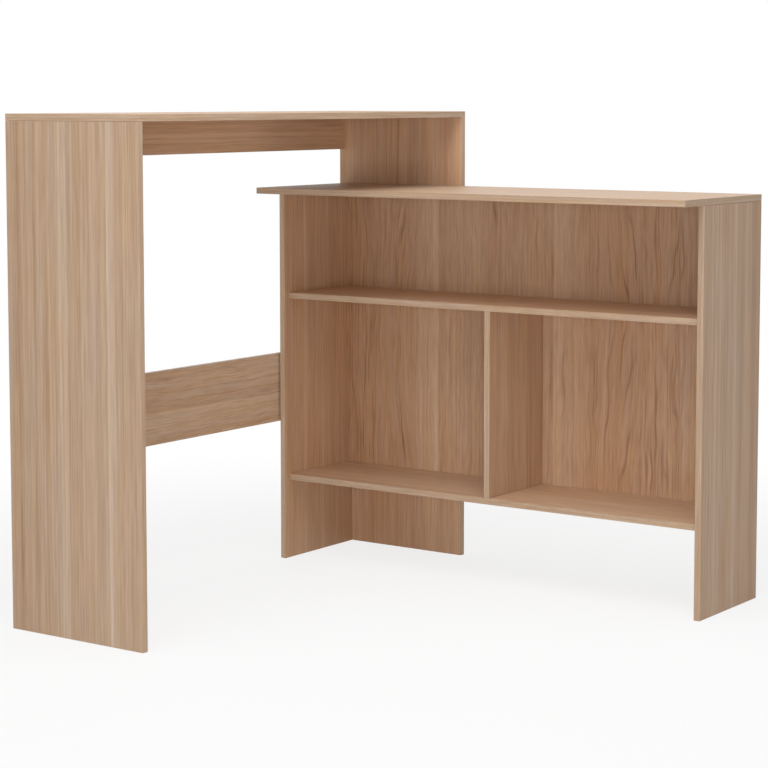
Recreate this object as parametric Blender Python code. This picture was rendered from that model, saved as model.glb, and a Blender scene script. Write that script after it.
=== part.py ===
"""A tall bar table and a low shelf rack that stands across its bay, in oak woodgrain board.

The boards are butt-jointed with hidden dowels, cam bolts and cam locks. The origin is on the floor, under
the middle of the footprint. +X runs along the rack, away from the tall table, +Y along the tall table, away
from its near end, and +Z up. Sizes are in metres.
"""

import math

import bmesh
import bpy
from mathutils import Matrix, Vector

# Boards
BOARD = 0.016
EDGE_ROUND = 0.0008
EDGE_STEPS = 2
JOINT_GAP = 0.0003

# Tall table: rises are from the floor to a board's underside
TABLE_LENGTH = 1.300
TABLE_DEPTH = 0.405
TABLE_HEIGHT = 1.200
APRON_HEIGHT = 0.089
STRETCHER_HEIGHT = 0.183
STRETCHER_RISE = 0.371

# Low rack
RACK_LENGTH = 1.259
RACK_HEIGHT = 1.0015
RACK_TOP_DEPTH = 0.399
SIDE_DEPTH = 0.302
SHELF_SETBACK = 0.018
UPPER_SHELF_RISE = 0.702
LOWER_SHELF_RISE = 0.212
DIVIDER_OFFSET = 0.0165
BACK_INSET = 0.009

# Where the rack stands in the bay: off the stretcher at its end and off the far end panel at its back
RACK_END_GAP = 0.008
RACK_BACK_GAP = 0.0005

# Holes for fittings
FACE_SKIN = 0.005
BORE_SPARE = 0.0005
FIT_GAP = 0.00025

# Turned pieces and round holes
ROUND_SIDES = 12
SEAM_WELD = 0.000001
SHARP_EDGE_DEG = 35

# Beech dowels
DOWEL_DIAMETER = 0.008
DOWEL_EDGE_DEPTH = 0.019
DOWEL_CHAMFER = 0.0008

# Cam bolts: thread in a face, collar on it, shank, neck and head in the next board's edge
CAM_SETBACK = 0.024
THREAD_RADIUS = 0.003
TIP_CHAMFER = 0.0008
COLLAR_STEP = 0.0006
COLLAR_LENGTH = 0.0015
NECK_RADIUS = 0.0019
NECK_TAPER = 0.001
SHANK_STEP = 0.0006
HEAD_STEP = 0.0011
HEAD_LENGTH = 0.0036

# Cam locks: a round body with a hollow for the bolt's head, a way in for it and a slot for its neck
CAM_RADIUS = 0.0072
CAM_SIDES = 16
CAM_WALL = 0.0018
CAM_FLOOR = 0.0008
HEAD_ROOM = 0.0005
NECK_ROOM = 0.0004
CAM_TURN_DEG = 90
SLOT_STEPS = 8
CROSS_LENGTH = 0.008
CROSS_WIDTH = 0.0015
CROSS_DEPTH = 0.0022

# Where the fittings stand along their boards
EDGE_INSET = 0.060
CAM_END_INSET = 0.300
BACK_DOWEL_INSET = 0.100
STRETCHER_INSET = 0.045

# Colours from the photograph, in linear values, then roughness and metallic
OAK = ((0.47, 0.33, 0.23), 0.50, 0.0)
BEECH = ((0.62, 0.45, 0.28), 0.70, 0.0)
STEEL = ((0.62, 0.62, 0.60), 0.30, 1.0)
ZINC = ((0.50, 0.50, 0.51), 0.45, 1.0)

# Worked out from the sizes above
FACE_DEPTH = BOARD - FACE_SKIN
COLLAR_RADIUS = THREAD_RADIUS + COLLAR_STEP
SHANK_RADIUS = NECK_RADIUS + SHANK_STEP
HEAD_RADIUS = NECK_RADIUS + HEAD_STEP
BOLT_BORE_RADIUS = max(COLLAR_RADIUS, SHANK_RADIUS, HEAD_RADIUS) + FIT_GAP
CAM_HOLLOW = CAM_RADIUS - CAM_WALL
HOLLOW_WALL = CAM_HOLLOW * math.cos(math.pi / CAM_SIDES)
HOLLOW_HEIGHT = 2 * (HEAD_RADIUS + HEAD_ROOM)
CAM_REACH = HOLLOW_HEIGHT / 2 + CAM_FLOOR

X, Y, Z = Vector((1, 0, 0)), Vector((0, 1, 0)), Vector((0, 0, 1))


def clear_scene():
    for found in list(bpy.data.objects):
        bpy.data.objects.remove(found)


def finish(name, look):
    """A plain Principled finish: colour, roughness and metallic."""
    colour, roughness, metallic = look
    made = bpy.data.materials.new(name)
    made.use_nodes = True
    shader = made.node_tree.nodes["Principled BSDF"]
    shader.inputs["Base Color"].default_value = (*colour, 1.0)
    shader.inputs["Roughness"].default_value = roughness
    shader.inputs["Metallic"].default_value = metallic
    return made


def unit(name, location):
    """An empty that carries one unit's pieces, at the floor corner that its sizes are counted from."""
    made = bpy.data.objects.new(name, None)
    made.location = location
    bpy.context.scene.collection.objects.link(made)
    return made


def place(name, mesh, carrier=None, location=(0, 0, 0), turn=None):
    """An object of this mesh on its carrier, turned by a 3x3 matrix."""
    made = bpy.data.objects.new(name, mesh)
    made.parent = carrier
    made.location = location
    if turn:
        made.rotation_euler = turn.to_euler()
    bpy.context.scene.collection.objects.link(made)
    return made


def box_mesh(name, size):
    mesh, bm = bpy.data.meshes.new(name), bmesh.new()
    bmesh.ops.create_cube(bm, size=1.0, matrix=Matrix.Diagonal((*size, 1.0)))
    bm.to_mesh(mesh)
    bm.free()
    return mesh


def turned_mesh(name, profile, look):
    """A profile of (radius, height) points, from the axis below to the axis above, spun about Z."""
    mesh, bm = bpy.data.meshes.new(name), bmesh.new()
    line = [bm.verts.new((radius, 0, height)) for radius, height in profile]
    edges = [bm.edges.new(pair) for pair in zip(line, line[1:])]
    bmesh.ops.spin(
        bm, geom=line + edges, axis=Z, cent=(0, 0, 0), angle=math.tau, steps=ROUND_SIDES, use_merge=True
    )
    bmesh.ops.remove_doubles(bm, verts=bm.verts, dist=SEAM_WELD)
    bmesh.ops.recalc_face_normals(bm, faces=bm.faces)
    bm.to_mesh(mesh)
    bm.free()
    mesh.shade_smooth()
    mesh.set_sharp_from_angle(angle=math.radians(SHARP_EDGE_DEG))
    mesh.materials.append(finish(name + "_finish", look))
    return mesh


def rod_mesh(name, radius, low, high, sides):
    """A plain round rod along Z between two heights."""
    mesh, bm = bpy.data.meshes.new(name), bmesh.new()
    middle = Matrix.Translation((0, 0, (low + high) / 2))
    bmesh.ops.create_cone(
        bm, cap_ends=True, segments=sides, radius1=radius, radius2=radius, depth=high - low, matrix=middle
    )
    bm.to_mesh(mesh)
    bm.free()
    return mesh


def sector_mesh(name, radius, height, start, end):
    """A slice of a disc about Z, from one angle to another, centred in height on the origin."""
    mesh, bm = bpy.data.meshes.new(name), bmesh.new()
    angles = [start + (end - start) * step / SLOT_STEPS for step in range(SLOT_STEPS + 1)]
    rim = [(radius * math.cos(angle), radius * math.sin(angle)) for angle in angles]
    outline = [bm.verts.new((x, y, -height / 2)) for x, y in [(0.0, 0.0), *rim]]
    face = bm.faces.new(outline)
    raised = bmesh.ops.extrude_face_region(bm, geom=[face])["geom"]
    lid = [part for part in raised if isinstance(part, bmesh.types.BMVert)]
    bmesh.ops.translate(bm, vec=(0, 0, height), verts=lid)
    bmesh.ops.recalc_face_normals(bm, faces=bm.faces)
    bm.to_mesh(mesh)
    bm.free()
    return mesh


def cut(piece, cutter):
    """Takes the cutter's shape out of the piece. The cutter stays in the scene as a wire guide."""
    cutter.hide_render = True
    cutter.display_type = "WIRE"
    boolean = piece.modifiers.new(cutter.name, "BOOLEAN")
    boolean.operation = "DIFFERENCE"
    boolean.solver = "EXACT"
    boolean.object = cutter


def along(axis):
    """The turn that lays local +Z along the axis."""
    return axis.to_track_quat("Z", "Y").to_matrix()


def drill(piece, mouth, axis, radius, depth):
    """A blind round hole from a point on a board's surface, along the axis into it."""
    name = f"{piece.name}_bore_{len(piece.modifiers)}"
    mesh = rod_mesh(name, radius, -BORE_SPARE, depth, ROUND_SIDES)
    cut(piece, place(name, mesh, piece.parent, mouth, along(axis)))


def board(name, carrier, low, high):
    """One board between two corners of its unit, with its edge bands' small radius on every edge."""
    low, high = Vector(low), Vector(high)
    mesh = box_mesh(name, high - low)
    mesh.materials.append(finish(name + "_finish", OAK))
    made = place(name, mesh, carrier, (low + high) / 2)
    rounding = made.modifiers.new("edge_round", "BEVEL")
    rounding.width = EDGE_ROUND
    rounding.segments = EDGE_STEPS
    rounding.limit_method = "NONE"
    return made


def dowel_profile():
    """Half in the face, half in the edge: the origin is on the face and +Z runs into the edge."""
    radius = DOWEL_DIAMETER / 2
    tip = radius - DOWEL_CHAMFER
    return [
        (0, -FACE_DEPTH),
        (tip, -FACE_DEPTH),
        (radius, -FACE_DEPTH + DOWEL_CHAMFER),
        (radius, DOWEL_EDGE_DEPTH - DOWEL_CHAMFER),
        (tip, DOWEL_EDGE_DEPTH),
        (0, DOWEL_EDGE_DEPTH),
    ]


def bolt_profile():
    """The origin is on the face. The rim of the head's shoulder seats on the wall of the cam's hollow."""
    collar = JOINT_GAP + COLLAR_LENGTH
    shoulder = CAM_SETBACK - math.sqrt(HOLLOW_WALL**2 - HEAD_RADIUS**2) + FIT_GAP
    neck = CAM_SETBACK - CAM_RADIUS - NECK_TAPER
    return [
        (0, -FACE_DEPTH),
        (THREAD_RADIUS - TIP_CHAMFER, -FACE_DEPTH),
        (THREAD_RADIUS, -FACE_DEPTH + TIP_CHAMFER),
        (THREAD_RADIUS, JOINT_GAP),
        (COLLAR_RADIUS, JOINT_GAP),
        (COLLAR_RADIUS, collar),
        (SHANK_RADIUS, collar),
        (SHANK_RADIUS, neck - NECK_TAPER),
        (NECK_RADIUS, neck),
        (NECK_RADIUS, shoulder),
        (HEAD_RADIUS, shoulder),
        (HEAD_RADIUS, shoulder + HEAD_LENGTH - TIP_CHAMFER),
        (HEAD_RADIUS - TIP_CHAMFER, shoulder + HEAD_LENGTH),
        (0, shoulder + HEAD_LENGTH),
    ]


def cam_mesh():
    """A cam lock, locked. Its origin is on the bolt's axis, +X points at the joint and +Z out of the pocket.

    The bolt's head has gone in by the way in, a turn of the cam away, and its neck now stands in the slot.
    """
    top = BOARD / 2 - FIT_GAP
    beyond = CAM_RADIUS + CAM_WALL
    turn = math.radians(CAM_TURN_DEG)
    slot_half = NECK_RADIUS + NECK_ROOM
    slot_start = -math.asin(slot_half / HOLLOW_WALL)
    body = place("cam_body", rod_mesh("cam_body", CAM_RADIUS, -CAM_REACH, top, CAM_SIDES))
    half = HOLLOW_HEIGHT / 2
    hollow = rod_mesh("cam_hollow", CAM_HOLLOW, -half, half, CAM_SIDES)
    slot = sector_mesh("cam_slot", beyond, 2 * slot_half, slot_start, turn)
    way_in = rod_mesh("cam_way_in", HEAD_RADIUS + NECK_ROOM, 0, beyond, CAM_SIDES)
    cross = box_mesh("cam_cross", (CROSS_LENGTH, CROSS_WIDTH, 2 * CROSS_DEPTH))
    quarter = Matrix.Rotation(math.pi / 2, 3, "Z")
    guides = [
        place("cam_hollow", hollow),
        place("cam_slot", slot),
        place("cam_way_in", way_in, turn=Matrix.Rotation(turn, 3, "Z") @ along(X)),
        place("cam_cross_a", cross, location=(0, 0, top)),
        place("cam_cross_b", cross, location=(0, 0, top), turn=quarter),
    ]
    for guide in guides:
        cut(body, guide)
    graph = bpy.context.evaluated_depsgraph_get()
    made = bpy.data.meshes.new_from_object(body.evaluated_get(graph))
    made.materials.clear()
    made.materials.append(finish("cam_lock_finish", ZINC))
    for helper in [body, *guides]:
        bpy.data.objects.remove(helper)
    return made


def dowel(name, face_board, edge_board, point, axis):
    """A dowel across a butt joint, from a point on the face board along the axis into the edge board."""
    radius = DOWEL_DIAMETER / 2 + FIT_GAP
    drill(face_board, point, -axis, radius, FACE_DEPTH + BORE_SPARE)
    drill(edge_board, point, axis, radius, DOWEL_EDGE_DEPTH + BORE_SPARE)
    place(name, DOWEL_MESH, face_board.parent, point, along(axis))


def cam_joint(name, end, face_board, edge_board, point, axis, outward):
    """A cam bolt and its lock across a butt joint. The pocket opens on the edge board's outward face."""
    pocket = point + CAM_SETBACK * axis
    drill(face_board, point, -axis, THREAD_RADIUS + FIT_GAP, FACE_DEPTH + BORE_SPARE)
    drill(edge_board, point, axis, BOLT_BORE_RADIUS, CAM_SETBACK)
    mouth = pocket + BOARD / 2 * outward
    drill(edge_board, mouth, -outward, CAM_RADIUS + FIT_GAP, BOARD / 2 + CAM_REACH + FIT_GAP)
    place(f"{name}_bolt_{end}", BOLT_MESH, face_board.parent, point, along(axis))
    turn = Matrix((-axis, outward.cross(-axis), outward)).transposed()
    place(f"{name}_cam_{end}", CAM_MESH, edge_board.parent, pocket, turn)


def tall_table(carrier):
    """Top on two end panels, with an apron and a lower stretcher between them along the back edge."""
    under_top = TABLE_HEIGHT - BOARD - JOINT_GAP
    inner_near, inner_far = BOARD + JOINT_GAP, TABLE_LENGTH - BOARD - JOINT_GAP
    far_face = TABLE_LENGTH - BOARD
    apron_rise = under_top - APRON_HEIGHT
    stretcher_top = STRETCHER_RISE + STRETCHER_HEIGHT

    top = board(
        "table_top", carrier, (0, 0, TABLE_HEIGHT - BOARD), (TABLE_DEPTH, TABLE_LENGTH, TABLE_HEIGHT)
    )
    near = board("near_end_panel", carrier, (0, 0, 0), (TABLE_DEPTH, BOARD, under_top))
    far = board("far_end_panel", carrier, (0, far_face, 0), (TABLE_DEPTH, TABLE_LENGTH, under_top))
    apron = board("apron", carrier, (0, inner_near, apron_rise), (BOARD, inner_far, under_top))
    stretcher = board(
        "stretcher", carrier, (0, inner_near, STRETCHER_RISE), (BOARD, inner_far, stretcher_top)
    )

    for end, panel, middle, face, inwards, corner in (
        ("near", near, BOARD / 2, BOARD, Y, CAM_END_INSET),
        ("far", far, TABLE_LENGTH - BOARD / 2, far_face, -Y, TABLE_LENGTH - CAM_END_INSET),
    ):
        for place_name, depth in (("back", EDGE_INSET), ("front", TABLE_DEPTH - EDGE_INSET)):
            point = Vector((depth, middle, TABLE_HEIGHT - BOARD))
            dowel(f"table_top_dowel_{end}_{place_name}", top, panel, point, -Z)
        point = Vector((BOARD / 2, corner, TABLE_HEIGHT - BOARD))
        cam_joint("apron_top", end, top, apron, point, -Z, -X)
        point = Vector((BOARD / 2, face, apron_rise + APRON_HEIGHT / 2))
        cam_joint("apron_end", end, panel, apron, point, inwards, -X)
        point = Vector((BOARD / 2, face, stretcher_top - STRETCHER_INSET))
        cam_joint("stretcher", end, panel, stretcher, point, inwards, -X)
        point = Vector((BOARD / 2, face, STRETCHER_RISE + STRETCHER_INSET))
        dowel(f"stretcher_dowel_{end}", panel, stretcher, point, inwards)


def shelf_rack(carrier):
    """An overhanging top on two sides, two shelves with a divider, and a back down to the lower shelf."""
    under_top = RACK_HEIGHT - BOARD - JOINT_GAP
    inner_left, inner_right = BOARD + JOINT_GAP, RACK_LENGTH - BOARD - JOINT_GAP
    right_face = RACK_LENGTH - BOARD
    back_front = -BACK_INSET - BOARD
    shelf_front, shelf_back = SHELF_SETBACK - SIDE_DEPTH, back_front - JOINT_GAP
    shelf_places = (("front", shelf_front + EDGE_INSET), ("back", shelf_back - EDGE_INSET))
    lower_top = LOWER_SHELF_RISE + BOARD

    def shelf(name, rise):
        low, high = (inner_left, shelf_front, rise), (inner_right, shelf_back, rise + BOARD)
        return board(name, carrier, low, high)

    left = board("rack_left_side", carrier, (0, -SIDE_DEPTH, 0), (BOARD, 0, under_top))
    right = board("rack_right_side", carrier, (right_face, -SIDE_DEPTH, 0), (RACK_LENGTH, 0, under_top))
    upper = shelf("upper_shelf", UPPER_SHELF_RISE)
    lower = shelf("lower_shelf", LOWER_SHELF_RISE)
    middle = RACK_LENGTH / 2 + DIVIDER_OFFSET
    divider = board(
        "divider",
        carrier,
        (middle - BOARD / 2, shelf_front, lower_top + JOINT_GAP),
        (middle + BOARD / 2, shelf_back, UPPER_SHELF_RISE - JOINT_GAP),
    )
    back = board(
        "rack_back",
        carrier,
        (inner_left, back_front, LOWER_SHELF_RISE),
        (inner_right, -BACK_INSET, under_top),
    )
    top = board(
        "rack_top", carrier, (0, -RACK_TOP_DEPTH, RACK_HEIGHT - BOARD), (RACK_LENGTH, 0, RACK_HEIGHT)
    )

    for end, side, centre, face, inwards, corner in (
        ("left", left, BOARD / 2, BOARD, X, CAM_END_INSET),
        ("right", right, RACK_LENGTH - BOARD / 2, right_face, -X, RACK_LENGTH - CAM_END_INSET),
    ):
        for place_name, depth in (("front", EDGE_INSET - SIDE_DEPTH), ("back", -EDGE_INSET)):
            point = Vector((centre, depth, RACK_HEIGHT - BOARD))
            dowel(f"rack_top_dowel_{end}_{place_name}", top, side, point, -Z)
        back_middle = -BACK_INSET - BOARD / 2
        point = Vector((corner, back_middle, RACK_HEIGHT - BOARD))
        cam_joint("rack_back", end, top, back, point, -Z, Y)
        for place_name, height in (
            ("lower", LOWER_SHELF_RISE + BACK_DOWEL_INSET),
            ("upper", under_top - BACK_DOWEL_INSET),
        ):
            point = Vector((face, back_middle, height))
            dowel(f"rack_back_dowel_{end}_{place_name}", side, back, point, inwards)
        for shelf_name, shelf_board, rise in (
            ("upper_shelf", upper, UPPER_SHELF_RISE),
            ("lower_shelf", lower, LOWER_SHELF_RISE),
        ):
            (_, front_place), (_, back_place) = shelf_places
            point = Vector((face, front_place, rise + BOARD / 2))
            cam_joint(shelf_name, end, side, shelf_board, point, inwards, -Z)
            point = Vector((face, back_place, rise + BOARD / 2))
            dowel(f"{shelf_name}_dowel_{end}", side, shelf_board, point, inwards)

    for place_name, depth in shelf_places:
        foot = Vector((middle, depth, lower_top))
        dowel(f"divider_dowel_lower_{place_name}", lower, divider, foot, Z)
        head = Vector((middle, depth, UPPER_SHELF_RISE))
        dowel(f"divider_dowel_upper_{place_name}", upper, divider, head, -Z)


clear_scene()
DOWEL_MESH = turned_mesh("dowel", dowel_profile(), BEECH)
BOLT_MESH = turned_mesh("cam_bolt", bolt_profile(), STEEL)
CAM_MESH = cam_mesh()

rack_start = BOARD + RACK_END_GAP
table_corner = Vector((-(rack_start + RACK_LENGTH) / 2, -TABLE_LENGTH / 2, 0))
rack_corner = table_corner + Vector((rack_start, TABLE_LENGTH - BOARD - RACK_BACK_GAP, 0))
tall_table(unit("tall_table", table_corner))
shelf_rack(unit("shelf_rack", rack_corner))
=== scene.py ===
import math

import bpy
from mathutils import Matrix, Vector


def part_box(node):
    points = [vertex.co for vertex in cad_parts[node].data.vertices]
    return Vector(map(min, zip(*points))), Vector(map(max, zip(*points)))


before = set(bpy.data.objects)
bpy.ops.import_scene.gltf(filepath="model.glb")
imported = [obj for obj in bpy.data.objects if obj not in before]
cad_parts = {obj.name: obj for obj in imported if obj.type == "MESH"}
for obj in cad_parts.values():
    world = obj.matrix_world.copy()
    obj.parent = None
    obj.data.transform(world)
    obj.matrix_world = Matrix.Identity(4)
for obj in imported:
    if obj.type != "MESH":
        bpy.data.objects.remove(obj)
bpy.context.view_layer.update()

# Near end panel: the full-height board at the near end of the tall table, chipboard faced with oak-print
# paper. The grain runs upright, and glued edge bands close all four edges. Dowels in its upper edge place
# the top, and cam bolts in its inner face hold the apron and the stretcher.
X, Y, Z = 0, 1, 2
BAND_THICKNESS = 0.0008
GLUE_LINE = 0.0003
PAPER_THICKNESS = 0.0003

GOLDEN_OAK = (0.450, 0.303, 0.189, 1.0)
MAUVE_OAK = (0.440, 0.310, 0.218, 1.0)
CHIP_DARK = (0.24, 0.15, 0.08, 1.0)
CHIP_PALE = (0.52, 0.38, 0.23, 1.0)
# Pale print is greyer than dark print: a change of tone moves red the least and blue the most
TONE_SWING = (0.80, 1.05, 1.35)
STRIPE_SWING = (0.68, 1.05, 1.45)
# What threads multiply the colour by, and the tint of painted shade on the faces inside the bays, which
# stands for the shade there
THREAD_TINT = (0.72, 0.65, 0.58, 1.0)
INSIDE_SHADE_TINT = (0.99, 0.86, 0.76, 1.0)
GLUE_DARKNESS = 0.22
PORE_DARKNESS = 0.08

# Width, length, seed and strength of each kind of streak in the tone
STREAKS = {
    "broad": (0.0400, 2.50, 10, 0.14),
    "middling": (0.0160, 1.60, 15, 0.20),
    "narrow": (0.0075, 2.20, 20, 0.36),
    "fine": (0.0040, 1.80, 25, 0.40),
    "short": (0.0070, 0.22, 30, 0.30),
    "dash": (0.0030, 0.10, 35, 0.40),
}
# Width, length and seed of each kind of mark, and the noise levels at which it starts and is full
THREAD = (0.0052, 0.42, 43, 0.54, 0.68)
THIN_THREAD = (0.0030, 0.22, 47, 0.55, 0.72)
PORE = (0.0007, 0.014, 53, 0.66, 0.76)
HUE = (0.0240, 0.45, 59, 0.30, 0.70)
CHIP = (0.0016, 0.0022, 61, 0.35, 0.65)
CHIP_DETAIL = 2.0
MID_NOISE = 0.5
# How dark thin threads are beside thick ones, and how strong both are on a board with no stripes
THIN_THREAD_SHARE = 0.7
PLAIN_THREADS = 0.3
# Width, length and seed of the slow wander and the short wiggle of the grain
WANDER = (0.110, 0.50, 0)
WIGGLE = (0.035, 0.13, 3)
# How far apart the two faces, the planks and the bands lie in the noise, so that their prints differ
FACE_SHIFT = 3.7
PLANK_SHIFT = 1.31
BAND_SHIFT = 7.9
# A ramp's colours stop at 1, so it holds this share of a tint
RAMP_SHARE = 0.5

# Roughness of the paper, and what fine streaks, pores and the bare core add to it
PAPER_ROUGHNESS = 0.50
FINE_ROUGHNESS = 0.16
PORE_ROUGHNESS = 0.12
CORE_ROUGHNESS = 0.30
# Relief of the embossed paper, with a pore's depth as 1
FINE_RELIEF = 0.6
DASH_RELIEF = 0.4
PORE_DEPTH = 0.0002
RELIEF_STRENGTH = 0.2


class Value:
    """An output of a node in one finish. Arithmetic with numbers or other values adds Math nodes."""

    def __init__(self, tree, socket=None):
        self.tree = tree
        self.socket = socket

    def node(self, kind, settings=None, sockets=None, output=0):
        """Any other node: its settings come first, then the values or links of its sockets."""
        made = self.tree.nodes.new(kind)
        for name, setting in (settings or {}).items():
            if name == "stops":
                self.set_stops(made.color_ramp.elements, setting)
            else:
                setattr(made, name, setting)
        for name, given in (sockets or {}).items():
            if isinstance(given, Value):
                self.tree.links.new(given.socket, made.inputs[name])
            else:
                made.inputs[name].default_value = given
        return Value(self.tree, made.outputs[output])

    def set_stops(self, elements, stops):
        while len(elements) < len(stops):
            elements.new(1.0)
        for element, (place, colour) in zip(elements, stops):
            element.position = place
            element.color = colour

    def output(self, name):
        """Another output of the node that this value comes from."""
        return Value(self.tree, self.socket.node.outputs[name])

    def feed(self, shader, socket):
        self.tree.links.new(self.socket, shader.inputs[socket])

    def math(self, operation, first, second=0.0):
        return self.node("ShaderNodeMath", {"operation": operation}, {0: first, 1: second})

    def __add__(self, other):
        return self.math("ADD", self, other)

    __radd__ = __add__

    def __sub__(self, other):
        return self.math("SUBTRACT", self, other)

    def __rsub__(self, other):
        return self.math("SUBTRACT", other, self)

    def __mul__(self, other):
        return self.math("MULTIPLY", self, other)

    __rmul__ = __mul__

    def __truediv__(self, other):
        return self.math("DIVIDE", self, other)

    def __gt__(self, other):
        return self.math("GREATER_THAN", self, other)

    def __lt__(self, other):
        return self.math("LESS_THAN", self, other)

    def __abs__(self):
        return self.math("ABSOLUTE", self)

    def root(self):
        return self.math("SQRT", self)

    def either(self, other):
        return self.math("MAXIMUM", self, other)

    def ease(self, start, end):
        """0 below the start, 1 above the end, and a smooth step between them."""
        sockets = {"Value": self, "From Min": start, "From Max": end}
        return self.node("ShaderNodeMapRange", {"interpolation_type": "SMOOTHSTEP"}, sockets)

    def blend(self, low, high):
        """A colour between two others, by this value."""
        return self.node("ShaderNodeMix", {"data_type": "RGBA"}, {0: self, 6: low, 7: high}, output=2)

    def stain(self, colour, tint):
        """A colour multiplied by a tint where this value is 1."""
        settings = {"data_type": "RGBA", "blend_type": "MULTIPLY"}
        return self.node("ShaderNodeMix", settings, {0: self, 6: colour, 7: tint}, output=2)

    def swing(self, amounts):
        """White where this value is 0, moved from it by these amounts of red, green and blue."""
        sockets = {0: self, 1: amounts, 2: (1, 1, 1)}
        return self.node("ShaderNodeVectorMath", {"operation": "MULTIPLY_ADD"}, sockets)

    def scaled(self, amount):
        """This colour times a value."""
        return self.node("ShaderNodeVectorMath", {"operation": "SCALE"}, {0: self, "Scale": amount})

    def times(self, colour):
        """This colour times another, channel by channel."""
        return self.node("ShaderNodeVectorMath", {"operation": "MULTIPLY"}, {0: self, 1: colour})

    def relief(self, strength, depth):
        """The bumped normal of a surface whose height is this value, with this depth in metres."""
        return self.node("ShaderNodeBump", sockets={"Strength": strength, "Distance": depth, "Height": self})


def new_finish(name):
    """A finish with a bare Principled shader. Gives it, the shader and the object coordinates X, Y and Z."""
    finish = bpy.data.materials.new(name)
    finish.use_nodes = True
    place = Value(finish.node_tree).node("ShaderNodeTexCoord", output="Object")
    axes = [place.node("ShaderNodeSeparateXYZ", sockets={0: place}, output=axis) for axis in (X, Y, Z)]
    return finish, finish.node_tree.nodes["Principled BSDF"], axes


def dress(node, finish):
    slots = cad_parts[node].data.materials
    slots.clear()
    slots.append(finish)


def streaks(across, along, wide, long, seed, detail=1.0):
    """Noise drawn out along the grain: one streak is about this wide and this long."""
    spot = across.node("ShaderNodeCombineXYZ", sockets={0: across / wide, 1: along / long, 2: seed})
    return across.node("ShaderNodeTexNoise", sockets={"Vector": spot, "Scale": 1.0, "Detail": detail})


def marks(across, along, kind, seed, stretch=1.0, detail=1.0):
    """How strongly a kind of mark shows, from 0 to 1. The stretch makes the marks longer."""
    wide, long, own_seed, faint, full = kind
    return streaks(across, along, wide, long * stretch, seed + own_seed, detail).ease(faint, full)


class Board:
    """One board: its zones, each a value of 0 or 1, and its places across and along the grain, in metres.

    On a band, the place across the grain runs through the board's thickness, and on a band at an end of the
    grain the place along it runs across the board. So each band carries a strip of print along its edge.
    """

    def __init__(self, node, along, across, axes):
        low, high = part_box(node)
        depth = X + Y + Z - along - across
        middle = [(low[axis] + high[axis]) / 2 for axis in (X, Y, Z)]
        half = [(high[axis] - low[axis]) / 2 for axis in (X, Y, Z)]
        reach = [abs(axes[axis] - middle[axis]) for axis in (X, Y, Z)]
        side_band = reach[across] > half[across] - BAND_THICKNESS
        end_band = reach[along] > half[along] - BAND_THICKNESS
        self.band = side_band.either(end_band)
        self.face = 1 - self.band
        self.glue = self.face * (reach[across] > half[across] - BAND_THICKNESS - GLUE_LINE)
        self.core = self.face * (reach[depth] < half[depth] - PAPER_THICKNESS)
        self.high_face = axes[depth] > middle[depth]
        self.across = axes[across] + self.band * (axes[depth] - axes[across])
        self.along = axes[along] + end_band * (axes[across] - axes[along])
        self.from_side = self.across - low[across]
        self.from_end = self.along - low[along]
        self.width = high[across] - low[across]


def sway(board, part, seed, reaches):
    """How far the grain is off its straight line: noise within one reach for wander and one for wiggle."""
    total = 0
    for (wide, long, own_seed), reach in zip((WANDER, WIGGLE), reaches):
        noise = streaks(board.across + part, board.along, wide, long, seed + own_seed)
        total = total + 2 * reach * (noise - MID_NOISE)
    return total


def striped(board, colour, stripes):
    """The colour with stripes (place, lightness, threads) along the board, and a straight mix between two.

    Places are metres from the board's low side. Gives the colour, and how strong the threads are. On some
    boards the stripes also paint light and shade.
    """
    stops = []
    for place, lightness, threads in stripes:
        red, green, blue = (RAMP_SHARE * (1 + lightness * swing) for swing in STRIPE_SWING)
        stops.append((place / board.width, (red, green, blue, threads)))
    spot = board.from_side / board.width
    tint = spot.node("ShaderNodeValToRGB", {"stops": stops}, {0: spot})
    return board.face.blend(colour, colour.times(tint.scaled(1 / RAMP_SHARE))), tint.output("Alpha")


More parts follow.
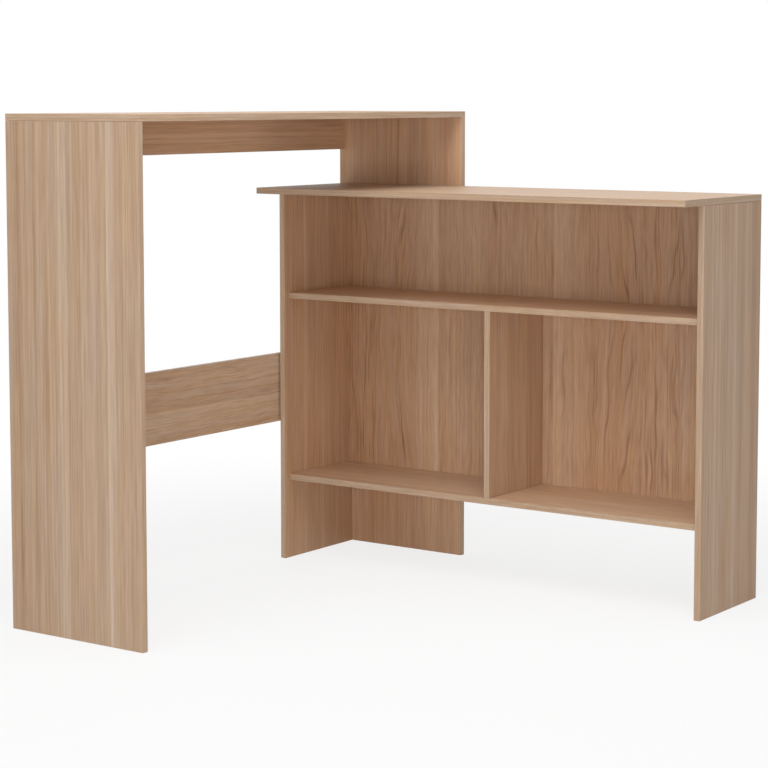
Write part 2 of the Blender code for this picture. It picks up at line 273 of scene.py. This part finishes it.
def oak(
    node, along, across, seed, inside_shade=(0, 0), painted_lightness=1.0, band_painted_lightness=1.0, stripes=(),
    length=1.0, wander=0.004, wiggle=0.003, seams=(), lean=None, lines=None,
):
    """Dresses one board in the oak print, with the grain along one axis.

    The print is noise drawn out along the grain, on a coordinate that runs across it and follows its flow.
    It starts anew at each seam, and length stretches its streaks. Threads are short dark lines, and pores are
    fine dashes. Inside shade says how strongly painted shade tints the low and the high face, standing for
    the shade inside the bays. The painted lightnesses make the faces and the bands lighter or darker, as the
    light that falls on each board would. Bores show the chipboard. Where a board has them, lean is a function
    that moves the flow, and lines is one that draws on the colour.
    """
    finish, shader, axes = new_finish(node + "_oak")
    board = Board(node, along, across, axes)
    plank = sum(board.from_side > seam for seam in seams)
    part = FACE_SHIFT * board.high_face + PLANK_SHIFT * plank * board.face + BAND_SHIFT * board.band
    swayed = sway(board, part, seed, (wander, wiggle))
    flow = board.across + swayed + part
    if lean:
        flow = flow + lean(board)

    tone = -GLUE_DARKNESS * board.glue
    layers = {}
    for name, (wide, long, own_seed, strength) in STREAKS.items():
        layers[name] = streaks(flow, board.along, wide, long * length, seed + own_seed) - MID_NOISE
        tone = tone + strength * layers[name]
    thick = marks(flow, board.along, THREAD, seed, length)
    thin = marks(flow, board.along, THIN_THREAD, seed, length)
    pore = marks(flow, board.along, PORE, seed)

    colour = marks(flow, board.along, HUE, seed).blend(GOLDEN_OAK, MAUVE_OAK)
    threads = PLAIN_THREADS
    if stripes:
        colour, threads = striped(board, colour, stripes)
    colour = (threads * thick.either(THIN_THREAD_SHARE * thin)).stain(colour, THREAD_TINT)
    if lines:
        colour = lines(board, colour, swayed)
    # Painted light and shade: each board's faces and bands are made lighter or darker by how much light falls
    # on them, and pores darken the print
    lightness = (band_painted_lightness + (painted_lightness - band_painted_lightness) * board.face) * (1 - PORE_DARKNESS * pore)
    colour = colour.times(tone.swing(TONE_SWING)).scaled(lightness)
    # Painted shade: the faces inside the bays are made darker and deeper in colour, as the shade there would
    # make them
    low_inside_shade, high_inside_shade = inside_shade
    colour = (board.face * (low_inside_shade + (high_inside_shade - low_inside_shade) * board.high_face)).stain(colour, INSIDE_SHADE_TINT)

    flakes = marks(axes[across], axes[along], CHIP, seed, detail=CHIP_DETAIL)
    board.core.blend(colour, flakes.blend(CHIP_DARK, CHIP_PALE)).feed(shader, "Base Color")
    roughness = PAPER_ROUGHNESS + FINE_ROUGHNESS * layers["fine"] + PORE_ROUGHNESS * pore
    (roughness + CORE_ROUGHNESS * board.core).feed(shader, "Roughness")
    height = FINE_RELIEF * layers["fine"] + DASH_RELIEF * layers["dash"] - pore
    height.relief(RELIEF_STRENGTH, PORE_DEPTH).feed(shader, "Normal")
    dress(node, finish)


oak(
    "near_end_panel", along=Z, across=X, seed=1.0, inside_shade=(0, 1), painted_lightness=0.97, band_painted_lightness=0.91,
    stripes=[
        (0.0000, -0.06, 0.4), (0.0215, -0.08, 0.4), (0.0355, -0.22, 0.6), (0.0475, -0.08, 0.3),
        (0.0755, -0.02, 0.3), (0.0845, -0.12, 0.6), (0.0965, 0.02, 0.3), (0.1185, -0.12, 0.6),
        (0.1335, -0.01, 0.3), (0.1575, 0.02, 0.1), (0.1855, 0.16, 0.1), (0.1870, -0.04, 0.4),
        (0.2065, -0.06, 0.4), (0.2615, 0.01, 0.3), (0.2985, -0.04, 0.2), (0.3070, 0.00, 0.1),
        (0.3077, 0.28, 0.0), (0.3110, 0.28, 0.0), (0.3150, 0.15, 0.1), (0.3315, 0.02, 0.2),
        (0.3475, -0.06, 0.5), (0.3645, 0.02, 0.3), (0.3815, -0.06, 0.4), (0.4050, 0.02, 0.2),
    ],
)

# Far end panel: the same board at the far end of the tall table, made and fixed as the near one is. The
# rack's back stands against its inner face, so only the part above the rack and a strip below it show.
oak(
    "far_end_panel", along=Z, across=X, seed=41.0, inside_shade=(1, 0), painted_lightness=1.10,
    stripes=[
        (0.0000, 0.08, 0.2), (0.0415, 0.08, 0.2), (0.0765, 0.00, 0.3), (0.1115, -0.12, 0.5),
        (0.1365, 0.00, 0.3), (0.2015, -0.10, 0.5), (0.2215, 0.02, 0.3), (0.2415, -0.10, 0.5),
        (0.2815, 0.02, 0.3), (0.3115, 0.14, 0.1), (0.3365, 0.03, 0.3), (0.3915, 0.14, 0.2),
        (0.4050, 0.14, 0.2),
    ],
)

# Apron: the narrow board under the back edge of the top, oak-print chipboard with its grain lengthwise.
# Cams in its rear face pull it against both end panels and hold the top down.
oak(
    "apron", along=Y, across=Z, seed=52.0, inside_shade=(0, 1), painted_lightness=1.17,
    stripes=[
        (0.0000, -0.02, 0.3), (0.0253, 0.03, 0.3), (0.0473, 0.08, 0.1), (0.0513, 0.08, 0.1),
        (0.0553, -0.06, 0.5), (0.0753, -0.03, 0.4), (0.0890, -0.02, 0.3),
    ],
)

# Stretcher: the wider board low down along the back edge, oak-print chipboard with its grain lengthwise. It
# keeps the end panels upright, with a cam and a dowel at each end.
oak(
    "stretcher", along=Y, across=Z, seed=63.0, inside_shade=(0, 0.2), painted_lightness=1.15,
    length=0.5, wander=0.006, wiggle=0.008,
    stripes=[
        (0.0000, -0.06, 0.5), (0.0190, -0.04, 0.5), (0.0410, 0.04, 0.3), (0.0760, 0.09, 0.1),
        (0.0780, 0.09, 0.1), (0.0800, -0.10, 0.5), (0.0990, -0.03, 0.4), (0.1290, 0.02, 0.4),
        (0.1830, 0.02, 0.3),
    ],
)

# Table top: lies on both end panels and is flush with them, oak-print chipboard with the grain lengthwise.
# Dowels in the end panels place it, and two bolts in its underside are held by the apron's cams.
oak("table_top", along=Y, across=X, seed=74.0, inside_shade=(1, 0), band_painted_lightness=0.97)

# Rack sides: two boards of oak-print chipboard that stand on the floor and carry the shelves and the rack's
# top. The grain runs upright. Bolts in their inner faces meet the shelves' cams, and dowels hold the back.
oak(
    "rack_left_side", along=Z, across=Y, seed=85.0, inside_shade=(0, 1), painted_lightness=1.08,
    stripes=[
        (0.0000, 0.00, 0.2), (0.0385, -0.03, 0.3), (0.0635, 0.08, 0.1), (0.0735, 0.02, 0.2),
        (0.0885, 0.06, 0.2), (0.1185, -0.03, 0.3), (0.1535, 0.00, 0.3), (0.1655, 0.10, 0.1),
        (0.1835, 0.02, 0.3), (0.2085, -0.08, 0.4), (0.2335, -0.04, 0.3), (0.2685, -0.10, 0.4),
        (0.3020, -0.08, 0.3),
    ],
)
oak(
    "rack_right_side", along=Z, across=Y, seed=96.0, inside_shade=(1, 0.35), painted_lightness=0.93, band_painted_lightness=0.90,
    # The stripes darken the print towards the rear edge: partly print and partly painted shade
    stripes=[
        (0.0000, 0.00, 0.3), (0.0385, -0.02, 0.4), (0.0585, 0.10, 0.1), (0.0685, 0.16, 0.0),
        (0.0745, 0.05, 0.2), (0.0935, 0.07, 0.1), (0.1165, -0.02, 0.4), (0.1515, 0.00, 0.3),
        (0.1655, 0.14, 0.0), (0.1835, 0.03, 0.2), (0.2085, -0.09, 0.5), (0.2195, 0.00, 0.3),
        (0.2585, -0.05, 0.4), (0.2685, -0.19, 0.6), (0.2805, -0.10, 0.4), (0.3020, -0.05, 0.3),
    ],
)

# Lower shelf: the floor of the rack's two lower bays, oak-print chipboard with the grain from side to side.
# Cams in its underside pull the rack's sides in, and dowels line it up.
oak(
    "lower_shelf", along=X, across=Y, seed=118.0, inside_shade=(0, 0.4), painted_lightness=1.20, band_painted_lightness=0.95, length=0.6,
    stripes=[(0.0000, 0.02, 0.2), (0.1145, 0.03, 0.2), (0.1305, -0.04, 0.4), (0.2587, -0.03, 0.3)],
)

# Divider: the upright board between the two shelves, a little off the middle, oak-print chipboard with the
# grain upright. Two dowels at each end hold it.
oak(
    "divider", along=Z, across=Y, seed=140.0, inside_shade=(1, 0.7), painted_lightness=1.03, band_painted_lightness=0.95,
    stripes=[
        (0.0000, 0.00, 0.3), (0.0405, -0.02, 0.3), (0.0625, 0.08, 0.1), (0.0805, -0.02, 0.3),
        (0.1255, -0.03, 0.3), (0.1525, 0.07, 0.1), (0.1755, -0.05, 0.4), (0.2587, -0.06, 0.4),
    ],
)

# Upper shelf: the board across the whole rack above the two lower bays, oak-print chipboard with the grain
# from side to side. Cams in its underside pull the rack's sides in, and dowels line it up.
oak(
    "upper_shelf", along=X, across=Y, seed=129.0, inside_shade=(1, 0.6), painted_lightness=1.36, band_painted_lightness=0.95, length=0.6,
    # The print is paler towards the rear and the faces are made much lighter: painted light against the shade
    # under the rack's top
    stripes=[(0.0000, -0.07, 0.3), (0.0805, -0.02, 0.3), (0.1705, 0.05, 0.2), (0.2587, 0.11, 0.2)],
)

# Rack back: the board that closes the rack from the lower shelf up to its top, oak-print chipboard. Its print
# shows four joined planks of flat-sawn oak with wavy upright grain, where the panels show straight grain.
# Dowels place it between the sides, and cams in its rear face hold the top down.
SEAMS = [0.3088, 0.6691, 1.0388]
VEIN_TINT = (0.64, 0.54, 0.46, 1.0)
VEIN_HALF_WIDTH = 0.0054
# A vein fades at each end over a share of its length, and is full over a share of its half width
VEIN_FADE = 0.45
VEIN_FULL = 0.1
# Veins sway this many times as far as the rest of the grain
VEIN_SWAY = 3
# Low and high end of each vein, its places across at the low end, half way and at the high end, its darkness
VEINS = [
    (0.49, 0.78, 0.921, 0.901, 0.886, 0.9), (0.49, 0.61, 0.891, 0.876, 0.861, 0.9),
    (0.49, 0.74, 0.841, 0.831, 0.831, 0.6), (0.49, 0.76, 1.006, 1.031, 1.036, 0.8),
    (0.49, 0.76, 0.986, 0.971, 0.966, 0.6), (0.51, 0.76, 0.951, 0.941, 0.931, 0.5),
    (0.49, 0.76, 0.791, 0.786, 0.786, 0.4), (0.54, 0.76, 0.611, 0.611, 0.601, 0.5),
    (0.51, 0.67, 0.656, 0.656, 0.661, 0.5), (0.68, 0.77, 0.491, 0.483, 0.473, 0.8),
    (0.59, 0.77, 0.166, 0.186, 0.201, 0.8), (0.49, 0.63, 0.176, 0.166, 0.166, 0.6),
    (0.29, 0.51, 0.856, 0.876, 0.871, 0.7), (0.19, 0.43, 0.856, 0.891, 0.901, 0.7),
    (-0.01, 0.25, 0.861, 0.891, 0.906, 0.8), (-0.01, 0.51, 0.826, 0.831, 0.846, 0.7),
    (0.07, 0.51, 0.796, 0.786, 0.791, 0.4), (-0.01, 0.41, 0.976, 0.971, 0.971, 0.8),
    (-0.01, 0.51, 1.036, 1.026, 1.036, 0.6), (-0.01, 0.41, 0.941, 0.936, 0.946, 0.4),
    (-0.03, 0.19, 0.956, 0.956, 0.956, 0.5), (-0.03, 0.21, 0.996, 0.996, 0.996, 0.5),
    (0.07, 0.51, 0.696, 0.701, 0.711, 0.4), (-0.01, 0.21, 0.196, 0.186, 0.181, 0.8),
    (0.27, 0.51, 0.101, 0.101, 0.101, 0.6), (0.25, 0.51, 0.076, 0.076, 0.076, 0.4),
]
# Place, half width, slope, level and softness of each bow in the grain
BOWS = [
    (0.201, 0.10, -0.12, 0.39, 0.20),
    (0.876, 0.10, 0.06, 0.45, 0.06),
]


def bowed(board):
    """How far the bows move the grain.

    Each leans the lines around its place away from an upright stretch at its level, on a hyperbola.
    """
    total = 0
    for place, half_width, slope, level, softness in BOWS:
        bulge = 1 - (abs(board.from_side - place) / half_width).ease(0.0, 1.0)
        rise = board.from_end - level
        away = (rise * rise + softness**2).root() - softness
        total = total + slope * board.face * bulge * away
    return total


def veined(board, colour, swayed):
    """The colour with the veins drawn on it. Each is a parabola through its three places."""
    across = board.from_side + VEIN_SWAY * swayed
    for bottom, top, first, second, third, darkness in VEINS:
        rise = (board.from_end - bottom) / (top - bottom)
        bend = 2 * (first + third) - 4 * second
        place = first + rise * ((third - first - bend) + bend * rise)
        run = rise.ease(0.0, VEIN_FADE) * (1 - rise.ease(1 - VEIN_FADE, 1.0))
        line = 1 - (abs(across - place) / VEIN_HALF_WIDTH).ease(VEIN_FULL, 1.0)
        colour = (darkness * board.face * run * line).stain(colour, VEIN_TINT)
    return colour


oak(
    "rack_back", along=Z, across=X, seed=107.0, inside_shade=(0.9, 0), length=0.5, wander=0.010, wiggle=0.006,
    seams=SEAMS, lean=bowed, lines=veined,
    # The first three stripes darken the print towards the left corner: painted shade of that corner
    stripes=[
        (0.0000, -0.22, 0.8), (0.0312, -0.13, 0.9), (0.0712, -0.08, 0.9), (0.1412, -0.01, 0.5),
        (0.1712, -0.03, 0.7), (0.2372, 0.00, 0.4), (0.2452, 0.12, 0.2), (0.2812, 0.16, 0.2),
        (0.2962, 0.30, 0.1), (0.3082, 0.28, 0.1), (0.3094, 0.01, 0.5), (0.3512, 0.09, 0.4),
        (0.4212, 0.13, 0.3), (0.4912, 0.00, 0.5), (0.6312, 0.04, 0.4), (0.6685, 0.00, 0.6),
        (0.6697, 0.22, 0.2), (0.7062, 0.11, 0.2), (0.7312, 0.08, 0.3), (0.7462, 0.00, 0.4),
        (0.7862, -0.08, 0.7), (0.8112, -0.04, 0.5), (0.8662, -0.12, 0.5), (0.9112, -0.04, 0.5),
        (0.9612, -0.09, 0.9), (0.9992, 0.03, 0.8), (1.0372, 0.01, 1.0), (1.0392, 0.10, 0.4),
        (1.1212, 0.08, 0.4), (1.2264, 0.06, 0.4),
    ],
)

# Rack top: lies on the rack's sides and overhangs the front as a counter, oak-print chipboard with the
# grain from side to side. Dowels in the sides place it, and the back's cams hold two bolts in its underside.
oak("rack_top", along=X, across=Y, seed=151.0, inside_shade=(1, 0), painted_lightness=1.06, band_painted_lightness=0.92)

# Dowels: turned beech pins, glued into drilled holes where two boards meet. Their grain runs along the pin,
# and the rays show as short dark flecks.
BEECH_PALE = (0.60, 0.44, 0.30, 1.0)
BEECH_PINK = (0.52, 0.35, 0.23, 1.0)
RAY_TINT = (0.72, 0.62, 0.52, 1.0)
FIBRE_WIDTH = 0.0008
FIBRE_LENGTH = 0.016
FIBRE_LEVELS = (0.3, 0.7)
RAY_WIDTH = 0.0003
RAY_LENGTH = 0.0018
RAY_LEVELS = (0.60, 0.70)
BEECH_ROUGHNESS = 0.55
FIBRE_ROUGHNESS = 0.15
for along, name in ((X, "beech_along_x"), (Y, "beech_along_y"), (Z, "beech_along_z")):
    beech, shader, axes = new_finish(name)
    side, back = axes[along - 1], axes[along - 2]
    fibre = streaks(side, axes[along], FIBRE_WIDTH, FIBRE_LENGTH, back / FIBRE_WIDTH)
    rays = streaks(side, axes[along], RAY_WIDTH, RAY_LENGTH, back / RAY_WIDTH).ease(*RAY_LEVELS)
    colour = fibre.ease(*FIBRE_LEVELS).blend(BEECH_PALE, BEECH_PINK)
    rays.stain(colour, RAY_TINT).feed(shader, "Base Color")
    (BEECH_ROUGHNESS + FIBRE_ROUGHNESS * fibre).feed(shader, "Roughness")
    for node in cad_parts:
        if "_dowel_" in node:
            low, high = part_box(node)
            extents = [high[axis] - low[axis] for axis in (X, Y, Z)]
            if max(extents) == extents[along]:
                dress(node, beech)

# Cam bolts: turned and rolled steel with a bright zinc plating. Each is driven into the face of one board,
# and its head reaches into the edge of the next one.
PLATE_PALE = (0.74, 0.75, 0.77, 1.0)
PLATE_DULL = (0.60, 0.60, 0.60, 1.0)
HAZE_SIZE = 0.004
HAZE_LEVELS = (0.35, 0.70)
GRIT_SIZE = 0.0006
PLATE_ROUGHNESS = 0.22
HAZE_ROUGHNESS = 0.16
GRIT_ROUGHNESS = 0.08
MOTTLE_DETAIL = 2.0


def mottle(axes, size):
    """Noise with spots of about this size, the same in all directions."""
    spot = axes[X].node("ShaderNodeCombineXYZ", sockets={axis: axes[axis] / size for axis in (X, Y, Z)})
    return spot.node("ShaderNodeTexNoise", sockets={"Vector": spot, "Scale": 1.0, "Detail": MOTTLE_DETAIL})


def dress_all(word, finish):
    """Dresses every node whose name holds a word."""
    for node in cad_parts:
        if word in node:
            dress(node, finish)


plated_steel, shader, axes = new_finish("plated_steel")
shader.inputs["Metallic"].default_value = 1.0
haze = mottle(axes, HAZE_SIZE)
haze.ease(*HAZE_LEVELS).blend(PLATE_PALE, PLATE_DULL).feed(shader, "Base Color")
roughness = PLATE_ROUGHNESS + HAZE_ROUGHNESS * haze + GRIT_ROUGHNESS * mottle(axes, GRIT_SIZE)
roughness.feed(shader, "Roughness")
dress_all("_bolt_", plated_steel)

# Cam locks: cast zinc, tumbled after casting, so the skin is grey and faintly pebbled. Each sits in a round
# pocket and pulls a bolt's head in as it is turned.
ZINC_PALE = (0.62, 0.62, 0.62, 1.0)
ZINC_GREY = (0.42, 0.42, 0.43, 1.0)
SKIN_SIZE = 0.0025
SKIN_LEVELS = (0.30, 0.70)
PEBBLE_SIZE = 0.0005
PEBBLE_DEPTH = 0.0001
PEBBLE_STRENGTH = 0.3
ZINC_ROUGHNESS = 0.38
SKIN_ROUGHNESS = 0.18
PEBBLE_ROUGHNESS = 0.10
cast_zinc, shader, axes = new_finish("cast_zinc")
shader.inputs["Metallic"].default_value = 1.0
skin = mottle(axes, SKIN_SIZE)
pebbles = mottle(axes, PEBBLE_SIZE)
skin.ease(*SKIN_LEVELS).blend(ZINC_PALE, ZINC_GREY).feed(shader, "Base Color")
(ZINC_ROUGHNESS + SKIN_ROUGHNESS * skin + PEBBLE_ROUGHNESS * pebbles).feed(shader, "Roughness")
pebbles.relief(PEBBLE_STRENGTH, PEBBLE_DEPTH).feed(shader, "Normal")
dress_all("_cam_", cast_zinc)

# Floor: the plain white paper of a photo studio, laid just under the boards that stand on it. It throws
# soft light back on the object. The camera sees it as white, with a faint shadow close to the object.
FLOOR_REACH = 40.0
FLOOR_DROP = 0.0002
FLOOR_PAPER = (0.78, 0.78, 0.78, 1.0)
SHADOW_SHARE = 0.20
SHADOW_FADE = (1.2, 2.6)


def seen_directly(start):
    """1 for rays from the camera, from gloss and from glass, and 0 for light that falls on the object."""
    rays = ("Is Camera Ray", "Is Glossy Ray", "Is Transmission Ray")
    camera_ray, glossy_ray, clear_ray = (start.node("ShaderNodeLightPath", output=ray) for ray in rays)
    return camera_ray.either(glossy_ray).either(clear_ray)


floor_mesh = bpy.data.meshes.new("floor")
signs = [(-1, -1), (1, -1), (1, 1), (-1, 1)]
corners = [(x * FLOOR_REACH, y * FLOOR_REACH, -FLOOR_DROP) for x, y in signs]
floor_mesh.from_pydata(corners, [], [(0, 1, 2, 3)])
floor = bpy.data.objects.new("floor", floor_mesh)
bpy.context.scene.collection.objects.link(floor)
floor_finish = bpy.data.materials.new("floor_white")
floor_finish.use_nodes = True
tree = floor_finish.node_tree
tree.nodes.remove(tree.nodes["Principled BSDF"])
start = Value(tree)
place = start.node("ShaderNodeTexCoord", output="Object")
reach = place.node("ShaderNodeVectorMath", {"operation": "LENGTH"}, {0: place}, output="Value")
white = start.node("ShaderNodeEmission", sockets={"Color": (1, 1, 1, 1), "Strength": 1.0})
paper = start.node("ShaderNodeBsdfDiffuse", sockets={"Color": FLOOR_PAPER})
share = seen_directly(start) * (1 - SHADOW_SHARE + SHADOW_SHARE * reach.ease(*SHADOW_FADE))
surface = start.node("ShaderNodeMixShader", sockets={0: share, 1: paper, 2: white})
surface.feed(tree.nodes["Material Output"], "Surface")
floor_mesh.materials.append(floor_finish)

# Studio: white walls all round, which give a low even light and show as white to the camera, and four soft
# boxes of cloth over lamps: overhead, high in front, at table height by the camera, and low behind.
AMBIENT = 0.33
world = bpy.data.worlds.new("studio")
bpy.context.scene.world = world
world.use_nodes = True
backdrop = world.node_tree.nodes["Background"]
backdrop.inputs["Color"].default_value = (1, 1, 1, 1)
(AMBIENT + (1 - AMBIENT) * seen_directly(Value(world.node_tree))).feed(backdrop, "Strength")


def softbox(name, place, target, width, height, level):
    """An area light that lights a facing surface at its target to this share of the surface's own colour."""
    lamp = bpy.data.lights.new(name, "AREA")
    lamp.shape = "RECTANGLE"
    lamp.size = width
    lamp.size_y = height
    aim = Vector(target) - Vector(place)
    lamp.energy = level * math.pi**2 * aim.length_squared
    holder = bpy.data.objects.new(name, lamp)
    bpy.context.scene.collection.objects.link(holder)
    holder.location = place
    holder.rotation_euler = aim.to_track_quat("-Z", "Y").to_euler()
    holder.visible_camera = False


softbox(
    "top_light", place=(0.4, -0.6, 3.6), target=(0.0, 0.0, 1.0),
    width=3.0, height=3.0, level=1.10,
)
softbox(
    "high_front_light", place=(0.8, -2.6, 4.0), target=(0.0, 0.0, 0.9),
    width=3.0, height=3.0, level=0.29,
)
softbox(
    "front_light", place=(3.0, -4.3, 0.80), target=(0.0, 0.0, 0.65),
    width=3.0, height=1.4, level=0.45,
)
softbox(
    "back_light", place=(-3.2, 3.6, 0.50), target=(0.0, 0.0, 0.50),
    width=3.0, height=0.8, level=0.45,
)

# Camera: a long lens on a stand at the height of the table top, in front of the rack's open side. It looks
# down a little and its lens is shifted, which keeps the uprights nearly parallel.
CAMERA_PLACE = (2.9891, -4.2432, 1.2362)
LOOK_DOWN_DEG = 5.0723
TURN_DEG = 35.0952
LENS_MM = 102.55
SENSOR_MM = 36
SHIFT = (-0.0208, -0.12)
FAR_LIMIT = 200
camera = bpy.data.objects.new("camera", bpy.data.cameras.new("camera"))
bpy.context.scene.collection.objects.link(camera)
camera.location = CAMERA_PLACE
camera.rotation_euler = (math.radians(90 - LOOK_DOWN_DEG), 0, math.radians(TURN_DEG))
camera.data.lens = LENS_MM
camera.data.sensor_width = SENSOR_MM
camera.data.shift_x, camera.data.shift_y = SHIFT
camera.data.clip_end = FAR_LIMIT
bpy.context.scene.camera = camera
bpy.context.scene.view_settings.view_transform = "Standard"
